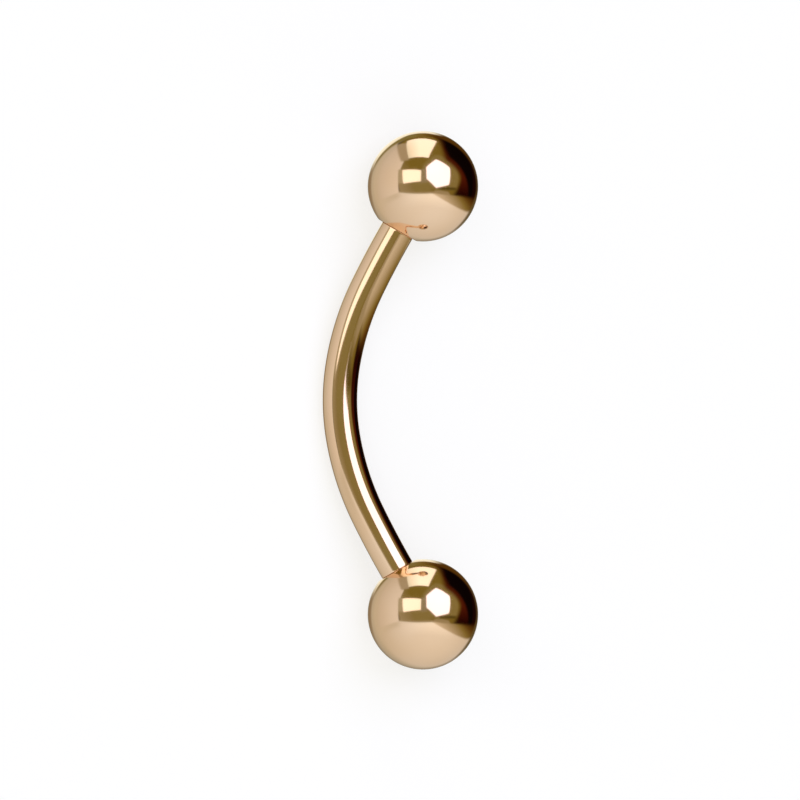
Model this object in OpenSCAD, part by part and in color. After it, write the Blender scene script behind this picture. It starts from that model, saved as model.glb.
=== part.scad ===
// Curved barbell with two screw-on balls, lying as it comes to rest on a flat surface.
// Origin: middle of the footprint, on the surface. +Y runs from the lower ball to the upper one,
// the bow points towards -X, and +Z is up. Millimetres.

/* [Bar] */
// Diameter of the wire
bar_d = 1.25; // [1:0.05:1.6]
// Radius of the tight bend at the crown, on the wire's centreline
crown_r = 8; // [7:0.1:9]
// Angle that the crown's bend reaches on either side of its middle
crown_deg = 9; // [5:0.5:12]
// Radius of the easier bend on each flank
flank_r = 10.2; // [9.8:0.1:11]
// Angle at which the flank's bend ends
flank_deg = 26; // [24:0.5:27.5]
// Angle at which the bar meets the ball
end_deg = 30; // [29:0.5:31]
// Distance between the ball centres
ball_span = 15.5; // [15:0.1:16.5]

/* [Balls] */
// Diameter of each ball
ball_d = 4; // [3.5:0.1:5]
// Distance from a ball's centre to the flat seat that meets the bar
seat_from_centre = 1.84; // [1.55:0.01:1.86]

/* [Studs] */
// Diameter of the stud on each end of the bar
stud_d = 1; // [0.8:0.01:1.04]
// Length of the stud from the bar's shoulder
stud_len = 1.6; // [1:0.1:2]
// Chamfer at the stud's tip
stud_chamfer = 0.12; // [0.05:0.01:0.2]
// Gap all round the stud in its hole
stud_clearance = 0.05; // [0.02:0.01:0.07]
// Depth of the hole from the flat seat
hole_depth = 2.2; // [2.1:0.1:2.6]

/* [Hidden] */
$fn = 96;
gold = [0.88, 0.71, 0.55];
bar_r = bar_d / 2;
ball_r = ball_d / 2;
hole_r = stud_d / 2 + stud_clearance;
// How far the stud reaches back into the bar
stud_root = 0.4;
// How far a cut runs past the face that it opens
over = 1;

// In the bar's own plane the ball centres lie on Y, and the bow reaches out to -X.
// Direction from a bend's centre to its wire, and the stretch of the bar inside each ball
function out_at(deg) = [-cos(deg), sin(deg)];
function along_at(deg) = [sin(deg), cos(deg)];
shoulder_y = ball_span / 2 - seat_from_centre * cos(end_deg);
// The last bend is nearly straight, and its radius brings the shoulder to the ball's seat
end_r = (shoulder_y - crown_r * sin(crown_deg) - flank_r * (sin(flank_deg) - sin(crown_deg)))
    / (sin(end_deg) - sin(flank_deg));
// Each bend's centre, seen from the crown's, lies on the line through the point where they meet
flank_centre = (crown_r - flank_r) * out_at(crown_deg);
end_centre = flank_centre + (flank_r - end_r) * out_at(flank_deg);
shoulder = end_centre + end_r * out_at(end_deg);
crown_centre_x = -(shoulder + seat_from_centre * along_at(end_deg))[0];
// How far the crown's centreline stands off the line through the ball centres
bow = crown_r - crown_centre_x;

// The bar lies on the crown and both balls, so its plane leans by this much
lean_deg = asin((ball_r - bar_r) / bow);
// The footprint reaches from the crown's outer side to the balls' outer side
low_x = -bow * cos(lean_deg) - bar_r;
middle_x = (low_x + ball_r) / 2;

// Lays a shape from the bar's own plane down on the surface
module laid_down() {
    translate([-middle_x, 0, ball_r])
        rotate([0, -lean_deg, 0])
            children();
}

// Puts a shape at the upper ball's centre, with +Z out along the bar's end
module at_ball() {
    translate([0, ball_span / 2, 0])
        rotate([0, 0, -end_deg])
            rotate([-90, 0, 0])
                children();
}

// Moves by whole hundredths first and by the rest after, so that the bends meet exactly
module shift(v) {
    coarse = [for (x = v) round(x * 100) / 100];
    translate(coarse)
        translate(v - coarse)
            children();
}

// Wire bent to a radius about a centre, between two angles from the crown's middle
module bend(centre, r, from_deg, to_deg) {
    shift([crown_centre_x + centre[0], centre[1], 0])
        rotate_extrude(start = 180 - to_deg, angle = to_deg - from_deg)
            shift([r, 0, 0])
                circle(d = bar_d);
}

// One flank of the bar, as far as the shoulder, with its stud
module bar_end() {
    bend(flank_centre, flank_r, crown_deg, flank_deg);
    bend(end_centre, end_r, flank_deg, end_deg);
    at_ball() {
        translate([0, 0, -seat_from_centre - stud_root])
            cylinder(d = stud_d, h = stud_root + stud_len - stud_chamfer);
        translate([0, 0, stud_len - seat_from_centre - stud_chamfer])
            cylinder(r1 = stud_d / 2, r2 = stud_d / 2 - stud_chamfer, h = stud_chamfer);
    }
}

// The bar is one wire: a tight bend at the crown, an easier one and an end on either side
module curved_bar() {
    color(gold)
        laid_down() {
            bend([0, 0], crown_r, -crown_deg, crown_deg);
            bar_end();
            mirror([0, 1, 0])
                bar_end();
        }
}

// A ball at the upper end, cut flat where it meets the shoulder, with a blind hole
module ball() {
    at_ball()
        difference() {
            sphere(d = ball_d);
            translate([0, 0, -seat_from_centre - over])
                cylinder(r = ball_r, h = over);
            translate([0, 0, -seat_from_centre - over])
                cylinder(r = hole_r, h = hole_depth + over);
        }
}

// The ball on the end towards +Y
module upper_ball() {
    color(gold)
        laid_down()
            ball();
}

// The ball on the end towards -Y
module lower_ball() {
    color(gold)
        laid_down()
            mirror([0, 1, 0])
                ball();
}

curved_bar();
upper_ball();
lower_ball();
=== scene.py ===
# %% [markdown]
# # A curved barbell in polished rose gold
#
# The object is a small piece of body jewellery: a wire bent to a shallow bow, with a ball screwed
# on each end. It is only 19.5 mm long. The CAD model fixes where every piece is and how it moves.
# This lesson gives each piece a finer surface, a metal finish, and a studio to be reflected in.
#
# A polished ball has almost no colour of its own that shows. What the eye reads as polished metal
# is the room in it, tinted by the metal. So half of the work here is the room.

# %% The frame that everything is placed in
from math import asin, atan2, cos, degrees, pi, radians, sin, sqrt, tau

import bpy
import numpy as np
from mathutils import Matrix, Vector


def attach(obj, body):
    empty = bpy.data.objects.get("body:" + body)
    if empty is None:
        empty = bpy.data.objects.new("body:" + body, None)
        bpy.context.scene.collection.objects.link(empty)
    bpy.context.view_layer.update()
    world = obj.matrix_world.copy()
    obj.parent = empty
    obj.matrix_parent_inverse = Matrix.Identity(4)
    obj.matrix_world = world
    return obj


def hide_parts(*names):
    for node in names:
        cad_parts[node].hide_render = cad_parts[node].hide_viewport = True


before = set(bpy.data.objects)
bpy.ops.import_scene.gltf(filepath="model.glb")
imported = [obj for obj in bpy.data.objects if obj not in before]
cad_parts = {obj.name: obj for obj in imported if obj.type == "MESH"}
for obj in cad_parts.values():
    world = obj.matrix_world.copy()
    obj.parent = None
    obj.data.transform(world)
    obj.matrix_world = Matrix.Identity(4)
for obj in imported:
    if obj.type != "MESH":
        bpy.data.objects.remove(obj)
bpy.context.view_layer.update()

# %% [markdown]
# ## The sizes
#
# They are the same ones that the CAD model has, in millimetres. The wire is bent to three radii
# on either side of its middle: tight at the crown, easier on the flank, and nearly straight where
# it runs into the ball. Real wire that is bent round a former springs back in just this way.
# Only the sizes that were measured are typed in. The rest follows from them.

# %% Sizes of the bar and the balls
MM = 0.001
WIRE_R = 1.25 / 2
BALL_R = 4 / 2
BALL_SPAN = 15.5
SEAT = 1.84
CROWN_R, FLANK_R = 8.0, 10.2
CROWN_END, FLANK_END, BAR_END = radians(9), radians(26), radians(30)
STUD_LENGTH = 1.6
BORE_DEPTH = 2.2

shoulder_y = BALL_SPAN / 2 - SEAT * cos(BAR_END)
LAST_R = (
    shoulder_y - CROWN_R * sin(CROWN_END) - FLANK_R * (sin(FLANK_END) - sin(CROWN_END))
) / (sin(BAR_END) - sin(FLANK_END))


def outward(angle):
    """The direction from a bend's centre to the wire, in the bar's own plane: (-cos a, sin a)."""
    return np.stack([-np.cos(angle), np.sin(angle)], -1)


# Seen from the crown's centre, each bend's centre lies on the line through the point they share.
flank_centre = (CROWN_R - FLANK_R) * outward(CROWN_END)
last_centre = flank_centre + (FLANK_R - LAST_R) * outward(FLANK_END)
shoulder = last_centre + LAST_R * outward(BAR_END)
crown_centre_x = -(shoulder[0] + SEAT * sin(BAR_END))
bow = CROWN_R - crown_centre_x
print(f"last bend {LAST_R:.2f} mm in radius, bow {bow:.3f} mm deep")

# %% [markdown]
# ## From the bar's plane to the floor
#
# A barbell put down on a table rolls over until it lies on its two balls and on the crown of the
# bar. The bar's plane then leans, by the angle whose sine is the difference of the two radii over
# the depth of the bow. All shapes are worked out flat, in the bar's plane, and laid down by this
# one turn. Their vertices go straight to their final place, so every object stays at the origin.

# %% Laying a shape down
lean = asin((BALL_R - WIRE_R) / bow)
low_x = -bow * cos(lean) - WIRE_R
middle_x = (low_x + BALL_R) / 2

# The bar's plane as the camera sees it: to the right, up, and towards the camera
right = np.array([cos(lean), 0, sin(lean)])
up = np.array([0.0, 1, 0])
back = np.array([-sin(lean), 0, cos(lean)])
chord_middle = np.array([-middle_x, 0, BALL_R])


def laid_down(flat):
    """Points (x, y, z) of the bar's plane, in mm, to metres: middle + x right + y up + z back."""
    return (chord_middle + flat @ np.stack([right, up, back])) * MM


print(f"the bar's plane leans by {degrees(lean):.2f} degrees")

# %% [markdown]
# ## The camera
#
# The picture looks square on to the bar's plane, so the bow shows at its full depth and the two
# balls are the same size. It was taken with a long lens from some way off: both balls mirror the
# same room, and neither shows more of its side than the other. An 800 mm lens gives that flatness.

# %% Camera
FRAME_WIDTH = 28.97
AIM_LEFT_OF_CHORD, AIM_ABOVE_CHORD = 0.830, 0.011
camera_data = bpy.data.cameras.new("long_lens")
camera_data.lens = 800
camera_data.sensor_width = 36
camera_data.clip_start = 0.005
camera_data.clip_end = 3
camera = bpy.data.objects.new("camera", camera_data)
bpy.context.scene.collection.objects.link(camera)
bpy.context.scene.camera = camera
distance = FRAME_WIDTH * camera_data.lens / camera_data.sensor_width
aim = chord_middle - AIM_LEFT_OF_CHORD * right + AIM_ABOVE_CHORD * up
camera.matrix_world = Matrix.Translation(Vector((aim + distance * back) * MM)) @ Matrix(
    np.stack([right, up, back], 1).tolist()
).to_4x4()
print(f"camera {distance:.0f} mm from the bar's plane")

# %% [markdown]
# ## A closed skin from a grid
#
# Both kinds of piece are solids of turning: rings of points, one after the other, with a single
# point closing each end. Written as one array of shape (rings, points round, 3), the whole piece
# needs no loop over its vertices. Each face joins a point to the next one round and to the same
# two on the next ring. The last point of a ring joins the first, so there is no seam.
#
# Two things about each point are stored with the mesh for the finish to read: where it would be
# if the bar were straight, or the ball upright, and whether it was left from the lathe or buffed.

# %% Helper that closes a grid into a mesh
def closed_skin(name, grid, poles, own_grid, own_poles, worked):
    """Faces (i, j), (i, j+1), (i+1, j+1), (i+1, j), where j + 1 goes round, and a fan per pole."""
    rings, around = grid.shape[:2]
    ring, step = np.meshgrid(np.arange(rings - 1), np.arange(around), indexing="ij")
    here, beside = ring * around + step, ring * around + (step + 1) % around
    quads = np.stack([here, beside, beside + around, here + around], -1).reshape(-1, 4)
    j = np.arange(around)
    nxt = (j + 1) % around
    first, last = rings * around, rings * around + 1
    top = (rings - 1) * around
    fans = np.concatenate(
        [
            np.stack([np.full(around, first), nxt, j], -1),
            np.stack([np.full(around, last), top + j, top + nxt], -1),
        ]
    )
    points = np.concatenate([grid.reshape(-1, 3), poles])
    mesh = bpy.data.meshes.new(name)
    mesh.from_pydata(points.tolist(), [], quads.tolist() + fans.tolist())
    mesh.polygons.foreach_set("use_smooth", np.ones(len(mesh.polygons), bool))
    place = mesh.attributes.new("own_place", "FLOAT_VECTOR", "POINT")
    place.data.foreach_set(
        "vector", np.concatenate([own_grid.reshape(-1, 3), own_poles]).ravel().astype(np.float32)
    )
    lathe = mesh.attributes.new("worked", "FLOAT", "POINT")
    ends = [worked[0], worked[-1]]
    lathe.data.foreach_set(
        "value", np.concatenate([np.repeat(worked, around), ends]).astype(np.float32)
    )
    mesh.update()
    piece = bpy.data.objects.new(name, mesh)
    bpy.context.scene.collection.objects.link(piece)
    report(piece)
    return piece


def report(piece):
    """Prints a piece's triangles and its volume: the sum of a . (b x c) / 6 over its triangles."""
    mesh = piece.data
    mesh.calc_loop_triangles()
    corners = np.empty(len(mesh.loop_triangles) * 3, np.int32)
    mesh.loop_triangles.foreach_get("vertices", corners)
    points = np.empty(len(mesh.vertices) * 3)
    mesh.vertices.foreach_get("co", points)
    a, b, c = points.reshape(-1, 3)[corners.reshape(-1, 3)].transpose(1, 0, 2)
    volume = np.einsum("ij,ij->i", a, np.cross(b, c)).sum() / 6 / MM**3
    print(f"{piece.name}: {len(corners) // 3} triangles, {volume:.2f} cubic mm")
    print("faces outwards:", bool(volume > 0))


# %% [markdown]
# ## The screw thread
#
# Each ball screws on to a stud that is turned down from the bar. While the ball is on, nothing of
# it shows, but when the ball comes off a bare pin would look wrong. A thread is a ridge whose
# height depends on one number, the distance along the stud in pitches less the turn round it.
# The ridge of the stud stays just inside the ridge of the bore, so the ball slides off freely.

# %% Thread
PITCH = 0.25
STUD_CORE_R, BORE_CREST_R = 0.46, 0.535
THREAD_DEPTH = 0.055
STEEPER, SUNK = 1.25, 0.1


def ridge(along, turn):
    """Height 0 to 1 of a right-handed ridge at a distance along the axis and a turn round it.

    It is the triangle wave w of along / pitch - turn / tau, as 1.25 w - 0.1 cut flat at 0 and 1.
    """
    phase = (along / PITCH - turn / tau) % 1
    return np.clip(STEEPER * (1 - np.abs(2 * phase - 1)) - SUNK, 0, 1)


def rise(x, start, end):
    """0 before start, 1 after end, and 3t^2 - 2t^3 between them."""
    t = np.clip((x - start) / (end - start), 0, 1)
    return t * t * (3 - 2 * t)


def quarter(n):
    """n angles from 0 to a quarter turn, for a rounded edge."""
    return np.linspace(0, pi / 2, n)


print(f"stud crest {STUD_CORE_R + THREAD_DEPTH:.3f} mm, bore crest {BORE_CREST_R:.3f} mm in radius")

# %% [markdown]
# ## The bar
#
# The bar is drawn wire, so it is a circle carried along a path. The path is known by its length
# s from the crown. Along each bend the angle grows by ds / radius, and past the shoulder the path
# runs straight on as the stud. The circle's radius is a function of s too: full along the bar,
# a small rounded edge at the shoulder, and the thread on the stud.

# %% The bar's path
s_crown = CROWN_R * CROWN_END
s_flank = s_crown + FLANK_R * (FLANK_END - CROWN_END)
s_shoulder = s_flank + LAST_R * (BAR_END - FLANK_END)


def along_bar(s):
    """Centre and outward direction at length s: centre of the bend + radius (-cos a, sin a)."""
    side, far = np.sign(s), np.abs(s)
    angle = np.select(
        [far < s_crown, far < s_flank, far < s_shoulder],
        [
            far / CROWN_R,
            CROWN_END + (far - s_crown) / FLANK_R,
            FLANK_END + (far - s_flank) / LAST_R,
        ],
        BAR_END,
    )
    out = outward(angle)
    bend = np.where(far < s_crown, 0, np.where(far < s_flank, 1, 2))
    centres = np.stack([np.zeros(2), flank_centre, last_centre])
    radii = np.array([CROWN_R, FLANK_R, LAST_R])
    past = np.maximum(far - s_shoulder, 0)[:, None] * np.array([sin(BAR_END), cos(BAR_END)])
    centre = centres[bend] + radii[bend][:, None] * out + past + [crown_centre_x, 0]
    mirror = np.stack([np.ones_like(side), np.where(side < 0, -1.0, 1.0)], -1)
    return centre * mirror, out * mirror


print(f"the bar is {2 * s_shoulder:.2f} mm long between its shoulders, along its curve")

# %% [markdown]
# The profile runs from the crown to one tip, and its mirror image runs to the other. Where the
# profile turns a corner, it gets a few rings on a small arc. Smooth shading then rounds the edge
# as buffing does and leaves the flats flat.

# %% The bar's profile and surface
AROUND_BAR = 160
RINGS_TO_SHOULDER = 132
RINGS_PER_PITCH = 12
EDGE = 0.035
RELIEF_R, RELIEF_END = 0.45, 0.15
TIP_R, TIP_BEVEL = 0.36, 0.12
LAST_RING = STUD_LENGTH - 0.02
LATHE_FADE = 0.004

arc = quarter(7)
body_s = np.linspace(0, s_shoulder - EDGE, RINGS_TO_SHOULDER)[:-1]
face_r = np.linspace(WIRE_R - EDGE, RELIEF_R + EDGE, 5)[1:-1]
thread_s = np.arange(EDGE, LAST_RING, PITCH / RINGS_PER_PITCH)[1:]
tip_r = np.interp(thread_s, [STUD_LENGTH - TIP_BEVEL, STUD_LENGTH], [STUD_CORE_R, TIP_R])
stud_r = RELIEF_R + (tip_r - RELIEF_R) * rise(thread_s, RELIEF_END - 0.06, RELIEF_END)
tip_face = np.array([TIP_R - 0.01, TIP_R - 0.04, TIP_R / 2])

half_s = np.concatenate(
    [
        body_s,
        s_shoulder - EDGE + EDGE * np.sin(arc),
        np.full(len(face_r), s_shoulder),
        s_shoulder + EDGE - EDGE * np.cos(arc),
        s_shoulder + thread_s,
        np.full(len(tip_face), s_shoulder + STUD_LENGTH),
    ]
)
half_r = np.concatenate(
    [
        np.full(len(body_s), WIRE_R),
        WIRE_R - EDGE + EDGE * np.cos(arc),
        face_r,
        RELIEF_R + EDGE - EDGE * np.sin(arc),
        stud_r,
        tip_face,
    ]
)
past = half_s - s_shoulder
half_depth = (
    THREAD_DEPTH
    * rise(past, RELIEF_END - 0.03, RELIEF_END + 0.09)
    * (1 - rise(past, STUD_LENGTH - TIP_BEVEL - 0.04, LAST_RING))
)
half_worked = rise(past, -LATHE_FADE, LATHE_FADE)


def both_halves(half, sign=1):
    """From one tip to the other: the mirrored half, times sign, and the half itself."""
    return np.concatenate([sign * half[:0:-1], half])


def lathe_turned(radius, turn, height):
    """Points (radius cos turn, radius sin turn, height), for one height per ring."""
    height = np.broadcast_to(height[:, None], radius.shape)
    return np.stack([radius * np.cos(turn), radius * np.sin(turn), height], -1)


s, r = both_halves(half_s, -1), both_halves(half_r)
depth, worked = both_halves(half_depth), both_halves(half_worked)
turn = np.arange(AROUND_BAR) / AROUND_BAR * tau
radius = r[:, None] + depth[:, None] * ridge(s[:, None], turn[None])
own = lathe_turned(radius, turn, s)
centre, out = along_bar(s)
in_plane = centre[:, None] + own[..., :1] * out[:, None]
flat = np.concatenate([in_plane, own[..., 1:2]], -1)
tips_s = np.array([s[0], s[-1]])
tips = np.column_stack([along_bar(tips_s)[0], np.zeros(2)])
own_tips = np.column_stack([np.zeros((2, 2)), tips_s])
polished_bar = closed_skin("polished_bar", laid_down(flat), laid_down(tips), own, own_tips, worked)
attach(polished_bar, "bar")
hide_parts("curved_bar")

# %% [markdown]
# ## The balls
#
# A ball is turned on a lathe, so it is one profile spun about the axis of the bar's end. Going
# round the profile from the bottom of the bore: up the threaded bore, over a bevel at its mouth,
# across the small flat seat that meets the bar, round a soft edge, and over the sphere to the far
# pole. In this order the faces look outwards, in the bore too.

# %% The ball's profile
AROUND_BALL = 180
SEAT_EDGE = 0.15
MOUTH_R, MOUTH_BEVEL = 0.61, 0.05
BORE_CONE = 0.14
HAIR = 0.004
bore_r = BORE_CREST_R + THREAD_DEPTH
mouth_z = MOUTH_BEVEL - SEAT

# The soft edge is an arc that touches the sphere from inside and the seat.
edge_at = sqrt((BALL_R - SEAT_EDGE) ** 2 - (SEAT - SEAT_EDGE) ** 2)
edge_turn = np.linspace(0, atan2(edge_at, SEAT - SEAT_EDGE), 9)
bottom_z = BORE_DEPTH - SEAT
cone_tip, cone_foot = (0.12, bottom_z - 0.03), (bore_r - 0.02, bottom_z - 0.12)
bore_z = np.arange(bottom_z - BORE_CONE, mouth_z, -PITCH / RINGS_PER_PITCH)
seat_rho = np.linspace(MOUTH_R, edge_at, 6)
sphere_turn = np.linspace(edge_turn[-1], pi, 132)[1:-1]


def turned(centre_rho, centre_z, reach, angle):
    """Profile points on an arc: (centre + reach sin a, centre - reach cos a)."""
    return np.column_stack([centre_rho + reach * np.sin(angle), centre_z - reach * np.cos(angle)])


profile = np.concatenate(
    [
        np.linspace(cone_tip, cone_foot, 4),
        np.column_stack([np.full(len(bore_z), bore_r), bore_z]),
        [[bore_r + HAIR, mouth_z], [MOUTH_R - HAIR, 1.5 * HAIR - SEAT]],
        np.column_stack([seat_rho, np.full(len(seat_rho), -SEAT)]),
        turned(edge_at, SEAT_EDGE - SEAT, SEAT_EDGE, edge_turn)[1:],
        turned(0, 0, BALL_R, sphere_turn),
    ]
)
rho, z = profile.T
in_bore = (rho < bore_r + HAIR / 2) & (z < bottom_z - BORE_CONE + 0.01)
full_depth = rise(z, mouth_z, mouth_z + 0.1) * (1 - rise(z, 0.05, 0.2))
ball_depth = np.where(in_bore, THREAD_DEPTH * full_depth, 0)
seat_and_bore = (rho <= edge_at + 0.06) & (z <= bottom_z)
ball_worked = np.where(seat_and_bore, 1 - rise(rho, edge_at - 0.01, edge_at + 0.05), 0)
print(f"flat seat out to {edge_at:.3f} mm in radius, {len(profile)} rings")

# %% [markdown]
# Both balls are the same ball. Its own axis z points away from the bar, and three unit vectors
# carry it to either end. They are kept right-handed, because a mirrored ball would have its faces
# inside out and a left-handed thread.

# %% The two balls
turn = np.arange(AROUND_BALL) / AROUND_BALL * tau
ball = lathe_turned(rho[:, None] - ball_depth[:, None] * ridge(z[:, None], turn[None]), turn, z)
ball_poles = np.array([[0, 0, bottom_z], [0, 0, BALL_R]])


def screwed_on(name, side, body, node):
    """The ball at one end, with its own axes x, y and z turned to the bar's.

    centre + x (cos e, -side sin e, 0) + y (0, 0, -side) + z (sin e, side cos e, 0), at end angle e
    """
    axes = np.array(
        [
            [cos(BAR_END), -side * sin(BAR_END), 0],
            [0, 0, -side],
            [sin(BAR_END), side * cos(BAR_END), 0],
        ]
    )
    ball_centre = np.array([0, side * BALL_SPAN / 2, 0])
    piece = closed_skin(
        name,
        laid_down(ball @ axes + ball_centre),
        laid_down(ball_poles @ axes + ball_centre),
        ball,
        ball_poles,
        ball_worked,
    )
    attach(piece, body)
    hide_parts(node)
    return piece


polished_upper_ball = screwed_on("polished_upper_ball", 1, "upper_ball", "upper_ball")
polished_lower_ball = screwed_on("polished_lower_ball", -1, "lower_ball", "lower_ball")

# %% [markdown]
# ## Shader sums in Python
#
# A finish is a sum of small effects, and sums read best as sums. This class wraps a socket of a
# node tree. Adding or multiplying two of them adds the Math node that does it. Its method node
# adds any other node: the settings first, then each input's value or link.

# %% Sockets that add up
class Wire:
    """A shader socket that takes part in Python sums."""

    def __init__(self, tree, socket=None):
        self.tree, self.socket = tree, socket

    def node(self, kind, settings=None, inputs=None, output=0):
        """Adds a node, sets it, fills its inputs with values or links, and returns one output."""
        made = self.tree.nodes.new(kind)
        for name, value in (settings or {}).items():
            setattr(made, name, value)
        for key, value in (inputs or {}).items():
            if isinstance(value, Wire):
                self.tree.links.new(value.socket, made.inputs[key])
            else:
                made.inputs[key].default_value = value
        return Wire(self.tree, made.outputs[output]) if made.outputs else None

    def math(self, operation, a, b):
        return self.node("ShaderNodeMath", {"operation": operation}, {0: a, 1: b})

    def __add__(self, other):
        return self.math("ADD", self, other)

    __radd__ = __add__

    def __sub__(self, other):
        return self.math("SUBTRACT", self, other)

    def __rsub__(self, other):
        return self.math("SUBTRACT", other, self)

    def __mul__(self, other):
        return self.math("MULTIPLY", self, other)

    __rmul__ = __mul__

    def vector(self, operation, other, output="Vector"):
        """Vector Math with this wire first."""
        inputs = {0: self, 1: other}
        return self.node("ShaderNodeVectorMath", {"operation": operation}, inputs, output)

    def ramp(self, start, end, kind="SMOOTHSTEP"):
        """0 at start, 1 at end, held outside them."""
        return self.node(
            "ShaderNodeMapRange",
            {"interpolation_type": kind, "clamp": True},
            {"Value": self, "From Min": start, "From Max": end},
        )

    def tint(self, low, high):
        """A colour that goes from low to high as this wire goes from 0 to 1."""
        inputs = {0: self, 6: colour(low), 7: colour(high)}
        return self.node("ShaderNodeMix", {"data_type": "RGBA"}, inputs, 2)

    def noise(self, scale, detail=2.0, roughness=0.5):
        """Noise at this place, about 0 to 1, with so many bumps a millimetre."""
        return self.node(
            "ShaderNodeTexNoise",
            {"noise_dimensions": "3D"},
            {"Vector": self, "Scale": scale, "Detail": detail, "Roughness": roughness},
        )


def colour(value):
    """Three numbers as the four that a colour socket wants. A wire passes through."""
    return value if isinstance(value, Wire) else (*value, 1)


print("wires ready")

# %% [markdown]
# ## Rose gold, buffed
#
# Surgical steel gets its rose gold colour from a hard coating a few thousandths of a millimetre
# thick, put on in vacuum over a mirror polish. Three things keep it from looking like a perfect
# computer mirror. The buffing wheel leaves a very slow swell, which bends long reflections a
# little. It leaves hairlines, too fine to see one by one, which soften the shine. And wear adds
# a few short scratches. The swell is about a thousandth of a millimetre high.
#
# The bar is buffed lengthwise and a ball while it spins, so each has its hairlines along its own
# stored place: along s on the bar, and round the axis on a ball. The thread, the bore and the
# seat come straight from the lathe and shine less, and there the gold is darker and browner.

# %% The finish
PALE_GOLD, WARM_GOLD = (0.94, 0.665, 0.44), (0.92, 0.635, 0.40)
# Darker, browner gold where the metal is worked: the seat, the bore and the stud
DARKER_WORKED_GOLD = (0.80, 0.52, 0.32)
BUFFED_ROUGHNESS = 0.09
SCRATCH_SLANT, SCRATCH_SCALE = (0.5, 0.9, 0.3), (34, 1.6, 5)
MICRON = 1e-6
# Heights in microns, and hairlines a millimetre
SWELL, HAIRLINE, SCRATCH = 1.6, 0.02, 0.05
ACROSS_BAR, UP_BALL = 50, 40


def buffed_metal(name, hairline_place):
    """A metal with slow swell, hairlines and scratches, and duller where it is left worked."""
    material = bpy.data.materials.new(name)
    material.use_nodes = True
    tree = material.node_tree
    tree.nodes.clear()
    start = Wire(tree)
    place = start.node("ShaderNodeAttribute", {"attribute_name": "own_place"}, output="Vector")
    lathe = start.node("ShaderNodeAttribute", {"attribute_name": "worked"}, output="Fac")

    drift = place.noise(0.45, 1.0)
    swell = place.noise(0.8, 1.0)
    hairline = hairline_place(place).noise(1.0, 3.0, 0.6)
    slanted = place.node(
        "ShaderNodeMapping",
        {},
        {"Vector": place, "Rotation": SCRATCH_SLANT, "Scale": SCRATCH_SCALE},
    )
    scratch = slanted.noise(1.0, 2.0).ramp(0.69, 0.74)

    gold = lathe.tint(drift.ramp(0.35, 0.65).tint(PALE_GOLD, WARM_GOLD), DARKER_WORKED_GOLD)
    roughness = BUFFED_ROUGHNESS + 0.03 * (hairline - 0.5) + 0.05 * scratch + 0.16 * lathe
    height = SWELL * swell + HAIRLINE * hairline - SCRATCH * scratch
    bump = start.node("ShaderNodeBump", {}, {"Height": height, "Distance": MICRON, "Strength": 1.0})
    shader = start.node(
        "ShaderNodeBsdfPrincipled",
        {},
        {"Base Color": gold, "Metallic": 1.0, "Roughness": roughness, "Normal": bump},
    )
    start.node("ShaderNodeOutputMaterial", {}, {"Surface": shader})
    print(f"{name}: {len(tree.nodes)} nodes")
    return material


def lengthwise(place):
    """Many lines a millimetre across, and little change along the bar."""
    return place.vector("MULTIPLY", (ACROSS_BAR, ACROSS_BAR, 0.8))


def round_the_axis(place):
    """The same value all round the axis, for (distance from the axis, height)."""
    from_axis = place.vector("MULTIPLY", (1, 1, 0)).vector("LENGTH", (0, 0, 0), "Value")
    height = place.vector("DOT_PRODUCT", (0, 0, 1), "Value")
    wander = place.noise(1.5, 0.0)
    return place.node(
        "ShaderNodeCombineXYZ",
        {},
        {"X": UP_BALL * from_axis, "Y": UP_BALL * height, "Z": 2 * wander},
    )


bar_gold = buffed_metal("rose_gold_bar_finish", lengthwise)
ball_gold = buffed_metal("rose_gold_ball_finish", round_the_axis)
polished_bar.data.materials.append(bar_gold)
polished_upper_ball.data.materials.append(ball_gold)
polished_lower_ball.data.materials.append(ball_gold)

# %% [markdown]
# ## The floor and the light on it
#
# The jewellery lies on a plain pale sheet. A large soft lamp beside the camera lights it, so the
# shadow falls close under the piece and fades towards the bottom of the picture. Neither the lamp
# nor the sheet shows in the metal: what the metal shows is arranged with the room, further down.

# %% Floor and lamp
FLOOR_REACH = 0.6
FLOOR_SHADE = 0.28
FLOOR_GLOW = (0.730, 0.729, 0.720, 1)
LAMP_STRENGTH, LAMP_WIDTH, LAMP_ABOVE_CAMERA = 0.7, radians(50), radians(9)
floor_mesh = bpy.data.meshes.new("pale_floor")
corner = FLOOR_REACH * np.array([[-1, -1, 0], [1, -1, 0], [1, 1, 0], [-1, 1, 0]])
floor_mesh.from_pydata((corner - [0, 0, MICRON]).tolist(), [], [(0, 1, 2, 3)])
pale_floor = bpy.data.objects.new("pale_floor", floor_mesh)
bpy.context.scene.collection.objects.link(pale_floor)
pale_floor.visible_glossy = False

sheet = bpy.data.materials.new("pale_sheet")
sheet.use_nodes = True
sheet.node_tree.nodes.clear()
start = Wire(sheet.node_tree)
matt = start.node(
    "ShaderNodeBsdfPrincipled",
    {},
    {
        "Base Color": (FLOOR_SHADE, FLOOR_SHADE, FLOOR_SHADE, 1),
        "Roughness": 1.0,
        "Specular IOR Level": 0.0,
        "Emission Color": FLOOR_GLOW,
        "Emission Strength": 1.0,
    },
)
start.node("ShaderNodeOutputMaterial", {}, {"Surface": matt})
pale_floor.data.materials.append(sheet)

lamp_data = bpy.data.lights.new("soft_lamp", "SUN")
lamp_data.energy = LAMP_STRENGTH
lamp_data.angle = LAMP_WIDTH
soft_lamp = bpy.data.objects.new("soft_lamp", lamp_data)
bpy.context.scene.collection.objects.link(soft_lamp)
soft_lamp.visible_glossy = False
lamp_from = back * cos(LAMP_ABOVE_CAMERA) + up * sin(LAMP_ABOVE_CAMERA)
soft_lamp.rotation_euler = Vector(lamp_from).to_track_quat("Z", "Y").to_euler()
print("floor and lamp in place")

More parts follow.
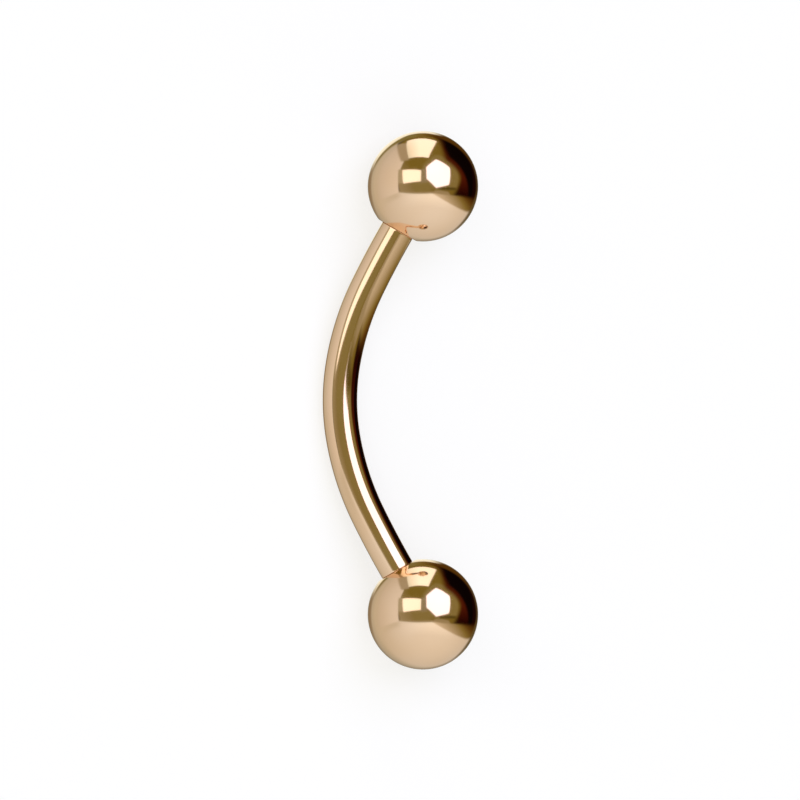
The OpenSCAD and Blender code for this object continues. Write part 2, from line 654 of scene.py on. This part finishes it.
# %% [markdown]
# ## The room that the metal mirrors
#
# Nothing in a photographer's light tent is far from a flat sheet: lamps, cards and gaps with
# straight edges. A sheet that is large and far away covers a polygon of directions, and each of
# its edges is a plane through the eye. So a sheet is a product of soft steps, one for each edge:
# the step of (direction . edge's normal).
#
# The handiest way to say where a corner is, is to say where it shows in the ball. A ball of
# radius 1 that mirrors a far thing at (x, y) from its centre, with z = sqrt(1 - x^2 - y^2),
# has it in the direction (2zx, 2zy, 2z^2 - 1): right, up, and towards the camera.

# %% Directions and edges
def shown_at(x, y):
    """World direction of what the ball shows at (x, y): 2zx right + 2zy up + (2z^2 - 1) back."""
    z = sqrt(max(0.0, 1 - x * x - y * y))
    return 2 * z * x * right + 2 * z * y * up + (2 * z * z - 1) * back


def edge_normal(a, b, inside):
    """The unit normal of the plane through two corners' directions, on the side of a third."""
    normal = np.cross(shown_at(*a), shown_at(*b))
    normal /= np.linalg.norm(normal)
    return normal if normal @ shown_at(*inside) > 0 else -normal


world = bpy.data.worlds.new("light_tent")
bpy.context.scene.world = world
world.use_nodes = True
world.node_tree.nodes.clear()
sky = Wire(world.node_tree)
direction = sky.node("ShaderNodeTexCoord", output="Generated")


def share(axis, start, end, kind="LINEAR"):
    """0 to 1 as (direction . axis) goes from start to end."""
    return direction.vector("DOT_PRODUCT", axis, "Value").ramp(start, end, kind)


def passing(axis, *marks):
    """A colour that passes through marks (share, colour) as (direction . axis) grows."""
    (start, made), *rest = marks
    for end, sheet_colour in rest:
        made = share(axis, start, end).tint(made, sheet_colour)
        start = end
    return made


def sheet_mask(corners, soft, inside=None):
    """1 on the sheet, 0 off it. Without inside, the corners close into a polygon."""
    ends = corners[1:] + (corners[:1] if inside is None else [])
    middle = inside or tuple(np.mean(corners, 0))
    mask = 1
    for a, b in zip(corners, ends):
        mask = mask * share(edge_normal(a, b, middle), -soft / 2, soft / 2, "SMOOTHSTEP")
    return mask


def round_mask(angle, rho, reach, soft):
    """1 within reach degrees of what the ball shows at this angle and distance from its centre."""
    axis = shown_at(rho * cos(radians(angle)), rho * sin(radians(angle)))
    middle = cos(radians(reach))
    return share(axis, middle - soft / 2, middle + soft / 2, "SMOOTHSTEP")


def paint(below, sheet_colour, mask):
    """The room below, with this colour where the mask is 1."""
    return mask.tint(below, sheet_colour)


def hang(below, *sheets):
    """Paints sheets in turn: colour, softness, corners, and a place inside if it is open."""
    for sheet_colour, soft, corners, *inside in sheets:
        below = paint(below, sheet_colour, sheet_mask(corners, soft, *inside))
    return below


print("edges ready")

# %% [markdown]
# The sheets are painted from back to front, each over the ones before it. First comes the dim
# tent itself, a little lighter where the softbox shines on it. Then comes the dark side on the
# right, which gives the metal its contrast. It is four soft steps from brown to nearly black.
#
# An open sheet names its corners along one side only and runs on from there, and a place inside
# says which side is the sheet.

# %% Tent and dark side
DIM_GLOW = (0.248, 0.220, 0.085)
GLOW_CORNERS = [(0.24, 0.57), (0.60, 0.37), (0.62, -0.03), (0.25, -0.10), (0.0, 0.10), (0.0, 0.38)]
RED_BROWN, BLACK_BROWN = (0.070, 0.012, 0.002), (0.010, 0.002, 0.001)
NEAR_BLACK = (0.003, 0.001, 0.001)
BLACK_CORNERS = [
    (0.33, 0.80), (0.36, 0.70), (0.46, 0.515), (0.69, 0.27), (0.79, 0.05), (0.80, -0.14)
]

lower_left = -0.914 * right - 0.406 * up
brown = passing(up, (-0.18, (0.018, 0.002, 0.001)), (0.2, (0.075, 0.011, 0.003)))
room = passing(lower_left, (0.1, (0.195, 0.158, 0.030)), (0.76, (0.34, 0.31, 0.20)))
room = paint(room, DIM_GLOW, round_mask(0, 0, 20, 0.08))
room = hang(
    room,
    (DIM_GLOW, 0.12, GLOW_CORNERS),
    (RED_BROWN, 0.26, [(0.30, 0.80), (0.31, 0.70), (0.39, 0.47), (0.67, 0.20)], (0.85, 0.5)),
    (brown, 0.28, [(0.69, 0.30), (0.645, 0.07), (0.58, -0.11)], (0.85, -0.05)),
    (NEAR_BLACK, 0.24, BLACK_CORNERS, (0.9, 0.2)),
    (BLACK_BROWN, 0.16, [(0.89, 0.25), (0.90, 0.05), (0.89, -0.14)], (0.97, 0.0)),
)
print("tent and dark side painted")

# %% [markdown]
# Pale cards make most of what shows. The one at the bottom right fades into the dark as it leans
# away, and a thin step runs along its top. The one at the left has painted shade: it grows darker
# towards the far side. The one at the bottom is lit along its upper edge, and it is dimmer where it
# passes under the left one, at the joint. A dim ledge softens its upper edge.

# %% Cards
falling = -0.485 * right - 0.822 * up + 0.298 * back
right_card = passing(
    falling,
    (-0.435, (0.025, 0.004, 0.001)),
    (-0.33, (0.115, 0.062, 0.010)),
    (-0.2, (0.24, 0.195, 0.055)),
    (0.33, (0.73, 0.71, 0.63)),
)
# Painted shade: the left card grows darker towards the far side
left_card = passing(
    back, (-0.85, (0.38, 0.39, 0.34)), (-0.35, (0.625, 0.62, 0.60)), (1, (0.86, 0.87, 0.88))
)

facing_it = 0.41 * right - 0.385 * up + 0.827 * back
bottom_card = passing(facing_it, (-1, (0.553, 0.535, 0.471)), (1, (0.859, 0.901, 0.949)))
lit_edge = share(up, -0.70, -0.38) * share(right, -0.75, 0.30) * share(back, 0.0, 0.5)
bottom_card = lit_edge.tint(bottom_card, (1.02, 1.09, 1.16))
joint = edge_normal((-0.861, -0.30), (-0.43, -0.115), (0.0, -0.6))
past_joint = share(joint, 0.08, 0.22, "SMOOTHSTEP")
near_joint = share(shown_at(-0.66, -0.25), 0.72, 0.92, "SMOOTHSTEP")
bottom_card = (near_joint * (1 - past_joint)).tint(bottom_card, (0.635, 0.64, 0.60))

STEP, LEDGE = (0.34, 0.31, 0.20), (0.35, 0.33, 0.22)
STEP_CORNERS = [(0.14, -0.16), (0.20, -0.085), (0.30, -0.08), (0.46, -0.105), (0.50, -0.18)]
RIGHT_CORNERS = [(0.10, -0.20), (0.20, -0.125), (0.34, -0.145), (0.56, -0.158), (0.92, -0.185)]
LEDGE_CORNERS = [(-0.43, -0.098), (-0.05, -0.107), (0.18, -0.10), (0.18, -0.20), (-0.43, -0.20)]
BOTTOM_CORNERS = [(-0.861, -0.30), (-0.43, -0.115), (-0.05, -0.138), (0.17, -0.133), (0.67, -0.41)]
room = hang(
    room,
    (STEP, 0.06, STEP_CORNERS, (0.3, -0.14)),
    (right_card, 0.08, RIGHT_CORNERS, (0.5, -0.4)),
    (left_card, 0.05, [(-0.435, -0.111), (-0.345, 0.44), (-0.455, 0.731)], (-0.75, 0.2)),
    (LEDGE, 0.04, LEDGE_CORNERS),
    (bottom_card, 0.055, BOTTOM_CORNERS, (0.0, -0.6)),
)
print("cards painted")

# %% [markdown]
# Two dim strips hang along the left card, a paler patch lies between the lamps, and a dark notch
# under the softbox. The lamps come last: a wide one overhead, a small square one in front, and a
# six-sided softbox, the brightest of all.

# %% Strips and lamps
SIDE_STRIP, LOW_STRIP = (0.40, 0.37, 0.28), (0.43, 0.42, 0.32)
BETWEEN_LAMPS, NOTCH = (0.29, 0.27, 0.185), (0.10, 0.08, 0.016)
SQUARE, SOFTBOX = (1.45, 1.45, 1.45), (1.7, 1.75, 2.35)
LAMP_EDGE = 0.04
NOTCH_CORNERS = [(0.29, -0.032), (0.47, -0.015), (0.60, -0.03), (0.60, -0.075), (0.30, -0.066)]
OVERHEAD_CORNERS = [(-0.283, 0.815), (0.245, 0.812), (0.217, 0.74), (0.10, 0.51), (-0.257, 0.498)]
SQUARE_CORNERS = [(-0.367, 0.288), (-0.033, 0.283), (-0.040, 0.086), (-0.352, 0.045)]
SOFTBOX_CORNERS = [
    (0.235, 0.481), (0.484, 0.330), (0.469, 0.023), (0.237, -0.033), (0.066, 0.131), (0.060, 0.340)
]

overhead = passing(right, (-0.45, (0.85, 0.92, 0.86)), (-0.1, (1.38, 1.40, 1.42)))
room = hang(
    room,
    (SIDE_STRIP, 0.08, [(-0.45, 0.75), (-0.26, 0.78), (-0.25, 0.47), (-0.39, 0.44)]),
    (LOW_STRIP, 0.06, [(-0.44, 0.30), (-0.36, 0.30), (-0.35, 0.05), (-0.44, 0.05)]),
    (BETWEEN_LAMPS, 0.10, [(-0.05, 0.29), (0.09, 0.34), (0.09, 0.07), (-0.05, 0.05)]),
    (NOTCH, 0.06, NOTCH_CORNERS),
    (overhead, LAMP_EDGE, OVERHEAD_CORNERS),
    (SQUARE, LAMP_EDGE, SQUARE_CORNERS),
    (SOFTBOX, LAMP_EDGE, SOFTBOX_CORNERS),
)
print("strips and lamps painted")

# %% [markdown]
# Behind the object is the sheet that it lies on. A ball shows that only in a thin rim, but from a
# low angle the same part of the room fills its underside, so it has to look right there too: pale,
# with the dark of the object's own contact straight down. Straight behind the object, its own
# shade draws a thin darker line round the rim, and at the lower right the foot of the dark side
# shows there. Towards the top of the picture the sheet ends in a dark gap, which draws the dark
# line along the upper rim, and past that it is bright.

# %% The sheet underneath
DOWN, BEHIND = (180, 0.971), (0, 1.0)
PAST_GAP, UNDER_DARK_SIDE, CONTACT = (1.03, 1.10, 1.0), (0.12, 0.10, 0.035), (0.28, 0.23, 0.15)

underside = passing(back, (-0.85, (0.46, 0.455, 0.385)), (-0.5, (0.60, 0.60, 0.54)))
rim_line = passing(up, (-0.42, (0.38, 0.36, 0.30)), (-0.10, (0.28, 0.255, 0.185)))
rim_line = passing(0.98 * right + 0.20 * up, (0.12, rim_line), (0.28, (0.085, 0.055, 0.025)))
top_gap = passing(
    right, (-0.12, (0.222, 0.200, 0.068)), (0.0, (0.19, 0.14, 0.033)), (0.18, (0.085, 0.040, 0.005))
)
upward = share(up, 0.05, 0.4, "SMOOTHSTEP")
upper_left = sheet_mask([(0.25, 0.90), (0.0, 0.0), (-0.84, 0.30)], 0.12, (-0.4, 0.8))

room = paint(room, underside, round_mask(*DOWN, 42, 0.25))
room = paint(room, rim_line, round_mask(*BEHIND, 29, 0.12))
room = paint(room, top_gap, upward * round_mask(104, 0.985, 33, 0.10))
room = paint(room, PAST_GAP, upper_left * round_mask(*BEHIND, 33, 0.06))
room = paint(room, PAST_GAP, round_mask(128, 0.972, 11, 0.03))
room = paint(room, UNDER_DARK_SIDE, round_mask(-30, 0.970, 8, 0.04))
room = paint(room, CONTACT, round_mask(*DOWN, 12, 0.05))
print("sheet underneath painted")

# %% [markdown]
# What the camera sees past the floor is plain, whatever the room looks like in the metal. The
# Light Path node tells the world which rays come straight from the camera, and those get the
# floor's own white. The view transform is Standard, because the tones were judged in it.

# %% World output
PLAIN_WHITE = (0.985, 0.985, 0.985)
from_camera = sky.node("ShaderNodeLightPath", output="Is Camera Ray")
seen = from_camera.tint(room, PLAIN_WHITE)
tent = sky.node("ShaderNodeBackground", {}, {"Color": seen, "Strength": 1.0})
sky.node("ShaderNodeOutputWorld", {}, {"Surface": tent})
bpy.context.scene.view_settings.view_transform = "Standard"
bpy.context.scene.view_settings.look = "None"
print(f"world: {len(world.node_tree.nodes)} nodes")
